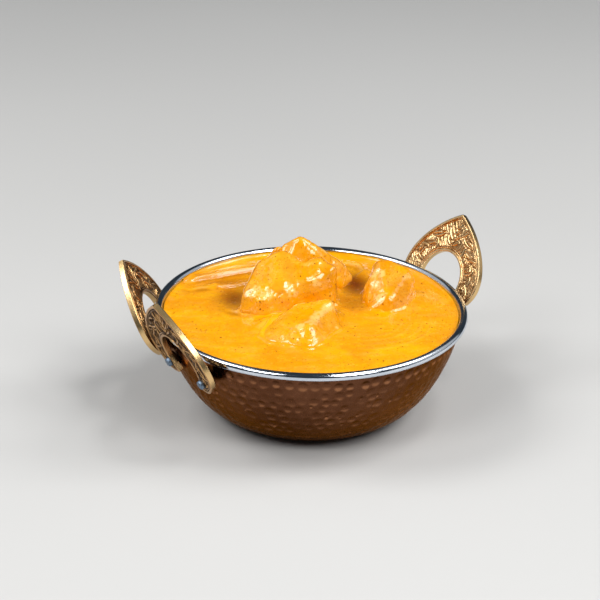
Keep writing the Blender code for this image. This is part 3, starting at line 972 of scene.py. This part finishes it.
def make_sauce(material):
    """The sauce: a heaped, creased surface on a body that fills the liner."""
    side = 272
    level_radius = 0.07055
    floor = LINER_INSET + STEEL_THICKNESS
    step = np.linspace(-1, 1, side)
    across, up = np.meshgrid(step, step)
    x = across * np.sqrt(1 - up ** 2 / 2) * level_radius
    y = up * np.sqrt(1 - across ** 2 / 2) * level_radius
    place = np.column_stack([x.ravel(), y.ravel()])
    height, cream_and_sheen, painted_shade = sauce_height(place / MM)
    top = np.column_stack([place, SAUCE_LEVEL + height])
    index = np.arange(side * side).reshape(side, side)
    loop = np.concatenate([index[0, :-1], index[:-1, -1], index[-1, :0:-1], index[:0:-1, 0]])
    wall, _, _ = wall_curve(floor - 0.0001, 0.005)
    wall = wall[1:]
    wall[-1] = (BASE_RADIUS, floor)
    angle = np.arctan2(top[loop, 1], top[loop, 0])
    size = len(loop)
    rings = [np.column_stack([radius * np.cos(angle), radius * np.sin(angle), np.full(size, level)])
             for radius, level in wall]
    points = np.concatenate([top] + rings)
    bands = [loop] + [side * side + ring * size + np.arange(size) for ring in range(len(rings))]
    sides = [np.stack([upper, lower, np.roll(lower, -1), np.roll(upper, -1)], axis=1)
             for upper, lower in zip(bands, bands[1:])]
    under = [bands[-1].tolist()[::-1]]
    piece = mesh_piece("sauce_pool", points, [grid_faces(side, side)] + sides + [under], material)
    give(piece, "cream_and_sheen", cream_and_sheen)
    give(piece, "painted_shade", painted_shade)
    return declare(piece, "curry_sauce", "curry_sauce")


def softened_chunk(node):
    """The CAD solid as an even, softened mesh."""
    source = show(f"{node}_cells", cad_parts[node].data.copy())
    cells = source.modifiers.new("cells", "REMESH")
    cells.mode = "VOXEL"
    cells.voxel_size = CHUNK_VOXEL
    soft = source.modifiers.new("soft", "SMOOTH")
    soft.factor = 0.5
    soft.iterations = CHUNK_LOOKS[node]["softening"]
    graph = bpy.context.evaluated_depsgraph_get()
    mesh = bpy.data.meshes.new_from_object(source.evaluated_get(graph))
    bpy.data.objects.remove(source)
    return mesh


def make_chunk(node, material, seed):
    """One piece of chicken under its coat of sauce: torn lumps, fine grain and soft edges."""
    look = CHUNK_LOOKS[node]
    mesh = softened_chunk(node)
    mesh.name = f"{node}_meat"
    level = np.array([0, 0, SAUCE_LEVEL])
    points = numbers(mesh.vertices, "co")
    for spot, reach, pull in look["pulls"]:
        away = lengths((points - level) / MM - spot)
        points += bell(away, reach)[:, None] * np.array(pull) * MM
    for spot, facing, reach in look["facets"]:
        offset = points - level - np.array(spot) * MM
        over = np.clip(offset @ np.array(facing), 0, None)
        share = np.exp(-(lengths(offset) / (reach * MM)) ** 4)
        points -= (0.92 * share * over)[:, None] * np.array(facing)
    mesh.vertices.foreach_set("co", points.ravel())
    mesh.update()

    # The coat: lumps, knobs on the flanks, fibres and pits, thicker at the foot and where the
    # softening has shrunk the piece
    normals = numbers(mesh.vertex_normals, "vector")
    grain = np.array(look["grain"]) / np.linalg.norm(look["grain"])
    squeezed = points - 0.72 * (points @ grain)[:, None] * grain
    lumps = fractal(points, 0.0110, 2, seed)
    knobs = fractal(points, 0.0046, 2, seed + 3)
    fibres = 1 - np.abs(fractal(squeezed, 0.0024, 2, seed + 7))
    pits = fractal(points, 0.0013, 2, seed + 13)
    above = (points[:, 2] - SAUCE_LEVEL) / MM
    shown = smoothstep(0.5, 3.0, above)
    turned = smoothstep(0.97, 0.80, normals[:, 2]) * smoothstep(-0.1, 0.35, normals[:, 2])
    push = 0.00050 * lumps + (0.25 + 0.75 * turned) * 0.00044 * look["knobs"] * knobs
    push += (0.00013 * (fibres - 0.6) + 0.00006 * pits) * shown
    push += 0.0004 * bell(above - 0.5, 1.8) + 0.00020 + 0.00001 * look["softening"]
    points += normals * push[:, None]
    mesh.vertices.foreach_set("co", points.ravel())
    mesh.shade_smooth()
    mesh.materials.clear()
    mesh.materials.append(material)
    piece = show(f"{node}_meat", mesh)

    # Pale marks: faint random cream, and the listed pale patches, which are painted highlights
    cream_and_sheen = 0.10 * smoothstep(0.1, 0.8, fractal(points, 0.006, 3, seed + 19))
    ragged = 0.55 * fractal(points, 0.0019, 3, seed + 23)
    for *spot, radius in look["cream_and_sheen"]:
        away = lengths((points - level) / MM - spot) / radius
        cream_and_sheen = np.maximum(cream_and_sheen, smoothstep(1.0, 0.72, away + ragged))
    dry = np.zeros(len(points))
    for *spot, radius in look["dry"]:
        away = lengths((points - level) / MM - spot) / radius
        dry = np.maximum(dry, smoothstep(1.2, 0.7, away))
    give(piece, "dry", dry)
    give(piece, "cream_and_sheen", cream_and_sheen)
    # Painted shade: a little all over, more in the low parts between the lumps and on the dry patches
    give(piece, "painted_shade", 0.05 + 0.12 * smoothstep(-0.15, -0.8, lumps) + 0.12 * dry)
    return declare(piece, "sauced_chicken", node)


def make_spice(name, chunks, material, count, sizes, random):
    """Spice specks of one size range, each a small flattened grain lying on the sauce or the chicken."""
    grain = bmesh.new()
    bmesh.ops.create_icosphere(grain, subdivisions=1, radius=1.0)
    corners = np.array([vertex.co[:] for vertex in grain.verts])
    triangles = np.array([[vertex.index for vertex in face.verts] for face in grain.faces])
    grain.free()

    on_sauce = int(count * 0.72)
    angle = random.uniform(0, 2 * np.pi, on_sauce)
    reach = 69.6 * np.sqrt(random.uniform(0, 1, on_sauce))
    place = np.column_stack([reach * np.cos(angle), reach * np.sin(angle)])
    free = np.ones(on_sauce, bool)
    for outline in CHUNKS.values():
        free &= outline_distance(place, outline) > 0.5
    place = place[free]
    heights, _, _ = sauce_height(place)
    spots = [np.column_stack([place * MM, SAUCE_LEVEL + heights])]
    normals = [np.tile([0.0, 0.0, 1.0], (len(place), 1))]

    for chunk in chunks:
        points = numbers(chunk.data.vertices, "co")
        seen = np.nonzero(points[:, 2] > SAUCE_LEVEL + 0.0018)[0]
        wanted = max(int(count * 0.55 * len(seen) / 30000), 6)
        chosen = random.choice(seen, wanted, replace=False)
        spots.append(points[chosen])
        normals.append(numbers(chunk.data.vertex_normals, "vector")[chosen])

    all_points, all_faces = [], []
    for number, (spot, normal) in enumerate(zip(np.concatenate(spots), np.concatenate(normals))):
        size = random.uniform(*sizes) * np.array([1.0, random.uniform(0.45, 0.9), 0.28])
        turn = Vector(normal).to_track_quat("Z", "Y").to_matrix()
        turn @= Matrix.Rotation(random.uniform(0, 6.28), 3, "Z")
        bent = corners * size * (1 + 0.25 * random.uniform(-1, 1, (len(corners), 1)))
        all_points.append(bent @ np.array(turn).T + spot)
        all_faces.append(triangles + number * len(corners))
    piece = mesh_piece(name, np.concatenate(all_points), all_faces, material)
    return declare(piece, "curry_sauce")


# ---- the studio

def make_floor():
    bpy.ops.mesh.primitive_plane_add(size=12, location=(0, 0, -0.0002))
    floor = bpy.context.object
    floor.name = "floor"
    made = Shader("floor", Roughness=0.6)
    tone = made.spread(made.noise(1.5, 2), 0.3, 0.7)
    made.drive("Base Color", made.mix(tone, colour(196, 195, 193), colour(200, 199, 197)))
    floor.data.materials.append(made.material)


def make_light(name, place, size, power):
    data = bpy.data.lights.new(name, "AREA")
    data.shape = "RECTANGLE"
    data.size, data.size_y = size
    data.energy = power
    light = show(name, data)
    light.location = place
    light.visible_camera = False
    light.rotation_euler = (Vector(LIT_POINT) - Vector(place)).to_track_quat("-Z", "Y").to_euler()


def make_studio():
    world = bpy.data.worlds.new("studio")
    world.use_nodes = True
    background = world.node_tree.nodes["Background"]
    background.inputs["Color"].default_value = (0.62, 0.82, 1.0, 1)
    background.inputs["Strength"].default_value = 0.05
    bpy.context.scene.world = world
    for name, (place, size, power) in LIGHTS.items():
        make_light(name, place, size, power)


def make_camera():
    """The photograph's view: towards the middle of the rim, then turned by yaw, pitch and roll."""
    rise = radians(CAMERA_RISE)
    rim = Vector((0, 0, RIM_HEIGHT))
    place = rim + CAMERA_REACH * Vector((0, -cos(rise), sin(rise)))
    ahead = (rim - place).normalized()
    right = Vector((1, 0, 0))
    above = right.cross(ahead)
    ahead += tan(radians(CAMERA_YAW)) * right + tan(radians(CAMERA_PITCH)) * above
    ahead.normalize()
    level = ahead.cross(Vector((0, 0, 1))).normalized()
    upright = level.cross(ahead)
    roll = radians(CAMERA_ROLL)
    across = cos(roll) * level + sin(roll) * upright
    up = cos(roll) * upright - sin(roll) * level
    data = bpy.data.cameras.new("camera")
    data.lens = CAMERA_LENS
    camera = show("camera", data)
    camera.matrix_world = Matrix.Translation(place) @ Matrix((across, up, -ahead)).transposed().to_4x4()
    bpy.context.scene.camera = camera


# ---- all together

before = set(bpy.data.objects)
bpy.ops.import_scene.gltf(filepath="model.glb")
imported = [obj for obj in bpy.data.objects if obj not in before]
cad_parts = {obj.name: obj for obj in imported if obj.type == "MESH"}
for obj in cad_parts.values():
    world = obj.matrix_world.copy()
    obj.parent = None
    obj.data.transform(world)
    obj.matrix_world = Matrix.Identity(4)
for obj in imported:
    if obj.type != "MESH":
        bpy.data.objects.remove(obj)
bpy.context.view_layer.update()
bpy.context.scene.view_settings.view_transform = "Standard"
make_camera()
make_studio()
make_floor()

steel = steel_material("polished_steel", (204, 213, 225), (220, 227, 237), 0.10)
rivet_steel = steel_material("rivet_steel", (110.4, 127.8, 147.0), (120.0, 136.2, 154.2), 0.42)
make_copper(copper_material())
make_liner(steel)
for number, (name, place) in enumerate(HANDLES.items()):
    brass = brass_material(f"cast_brass_{number + 1}", place["brass_darkness"])
    make_handle(name, place, brass, rivet_steel, SEED + number)
make_sauce(sauce_material("curry_sauce", 0.2, 0.2, 0.8))
meat = sauce_material("sauced_chicken", 0.62, 0.48, 0.95)
chunks = [make_chunk(node, meat, SEED + 40 * number) for number, node in enumerate(CHUNKS)]
spice = spice_material()
random = np.random.default_rng(SEED)
make_spice("fine_spice", chunks, spice, 4200, (0.00014, 0.00028), random)
make_spice("coarse_spice", chunks, spice, 280, (0.00030, 0.00055), random)
